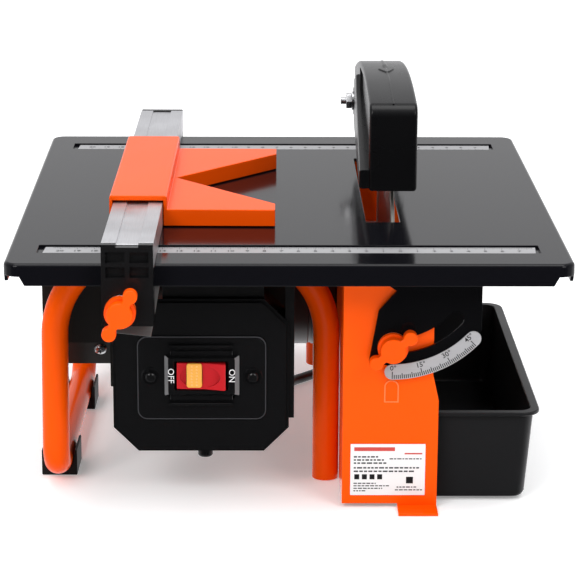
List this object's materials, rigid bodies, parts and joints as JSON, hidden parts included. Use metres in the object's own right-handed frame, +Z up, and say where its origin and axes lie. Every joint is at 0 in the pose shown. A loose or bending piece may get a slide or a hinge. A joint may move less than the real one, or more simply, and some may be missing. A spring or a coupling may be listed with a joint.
{
  "type": "tile cutter",
  "caption": "Table-top wet tile cutter with a tilting steel table, guarded diamond blade, rip fence with a sliding 45 degree guide, switch box, water tray and mains lead.",
  "frame": {"origin": "On the ground under the middle of the machine without its lead: midway across the table, and midway from the fence knob in front to the fence end cap behind.", "axes": "+X to the right seen from the switch, along the blade spindle; +Y from the switch side to the rear, along the cut; +Z up."},
  "size_m": [0.33, 0.4257, 0.239],
  "materials": {
    "orange_paint": "gloss powder coat",
    "black_paint": "gloss stoved enamel",
    "black_plastic": "moulded, fine grain",
    "orange_plastic": "moulded, satin",
    "red_plastic": "moulded, gloss",
    "yellow_plastic": "moulded, satin",
    "black_rubber": "matt",
    "aluminium": "satin anodised",
    "steel": "zinc plated or ground",
    "diamond_steel": "ground blank with sintered rim",
    "motor_paint": "satin",
    "copper_winding": "enamelled wire on laminations",
    "fan_plastic": "moulded",
    "label_film": null,
    "capacitor_case": "moulded"
  },
  "bodies": {
    "base": {"leg_frame": "orange_paint", "blade_housing": "orange_paint", "cross_panel": "black_paint", "cover_screw_left": "black_paint", "cover_screw_right": "black_paint", "switch_box": "black_plastic", "switch_cover": "black_plastic", "switch_body": "black_plastic", "foot_front": "black_rubber", "foot_rear": "black_rubber", "strain_relief": "black_rubber", "mains_cord": "black_rubber", "mains_cord_end": "black_rubber", "cord_coil": "black_rubber", "mains_plug": "black_rubber", "panel_bolt": "steel", "bearing_left": "steel", "bearing_right": "steel", "riving_knife": "steel", "guard_bolt": "steel", "guard_nut": "steel", "pivot_pin_front": "steel", "pivot_pin_rear": "steel", "lock_stud_front": "steel", "lock_stud_rear": "steel", "motor_shell": "motor_paint", "motor_end_left": "motor_paint", "motor_end_right": "motor_paint", "stator": "copper_winding", "rating_label": "label_film", "run_capacitor": "capacitor_case"},
    "spindle": {"shaft": "steel", "rotor": "steel", "cooling_fan": "fan_plastic", "flange_inner": "steel", "diamond_blade": "diamond_steel", "flange_outer": "steel", "arbor_nut": "steel"},
    "table": {"table_top": "black_paint", "ruler_front": "aluminium", "ruler_rear": "aluminium", "quadrant_front": "black_paint", "quadrant_rear": "black_paint", "angle_scale": "aluminium"},
    "fence": {"fence_rail": "aluminium", "fence_clamp_front": "black_plastic", "fence_hook_plate": "steel", "fence_clamp_rear": "black_plastic"},
    "guide": {"angle_guide": "orange_plastic"},
    "fence_clamp_screw": {"fence_knob": "orange_plastic", "fence_screw": "steel"},
    "guard": {"guard_left": "black_plastic", "guard_right": "black_plastic"},
    "front_lock": {"lock_knob_front": "orange_plastic"},
    "rear_lock": {"lock_knob_rear": "orange_plastic"},
    "switch_rocker": {"rocker": "red_plastic"},
    "key": {"safety_key": "yellow_plastic"},
    "reset": {"reset_button": "black_plastic"},
    "tray": {"water_tray": "black_plastic"}
  },
  "joints": [
    {"name": "blade_spin", "type": "hinge", "parent": "base", "child": "spindle", "pos_m": [0.0655, 0.007, 0.105], "axis": [1, 0, 0], "continuous": true},
    {"name": "table_tilt", "type": "hinge", "parent": "base", "child": "table", "pos_m": [0.0615, 0.002, 0.1525], "axis": [0, 1, 0], "range_deg": [0, 45]},
    {"name": "fence_slide", "type": "slide", "parent": "table", "child": "fence", "axis": [1, 0, 0], "range_m": [-0.05, 0.025]},
    {"name": "guide_slide", "type": "slide", "parent": "fence", "child": "guide", "axis": [0.014, 0.9999, 0], "range_m": [-0.09, 0.105]},
    {"name": "fence_knob_turn", "type": "hinge", "parent": "fence", "child": "fence_clamp_screw", "pos_m": [-0.09708, -0.19694, 0.1366], "axis": [-0.014, -0.9999, 0], "range_deg": [0, 360]},
    {"name": "guard_lift", "type": "hinge", "parent": "base", "child": "guard", "pos_m": [0.0655, 0.12, 0.198], "axis": [-1, 0, 0], "range_deg": [0, 60]},
    {"name": "front_lock_turn", "type": "hinge", "parent": "base", "child": "front_lock", "pos_m": [0.0615, 0.002, 0.1025], "axis": [0, -1, 0], "range_deg": [0, 360]},
    {"name": "rear_lock_turn", "type": "hinge", "parent": "base", "child": "rear_lock", "pos_m": [0.0615, 0.002, 0.1025], "axis": [0, 1, 0], "range_deg": [0, 360]},
    {"name": "rocker_tip", "type": "hinge", "parent": "base", "child": "switch_rocker", "pos_m": [-0.0521, -0.1405, 0.0803], "axis": [0, 0, 1], "range_deg": [0, 10]},
    {"name": "key_pull", "type": "slide", "parent": "switch_rocker", "child": "key", "axis": [0, -1, 0], "range_m": [0, 0.012]},
    {"name": "reset_press", "type": "slide", "parent": "base", "child": "reset", "axis": [0, 0, 1], "range_m": [0, 0.0025], "stiffness_N_per_m": 200, "springref_m": -0.003},
    {"name": "tray_pull", "type": "slide", "parent": "base", "child": "tray", "axis": [1, 0, 0], "range_m": [0, 0.016]}
  ]
}
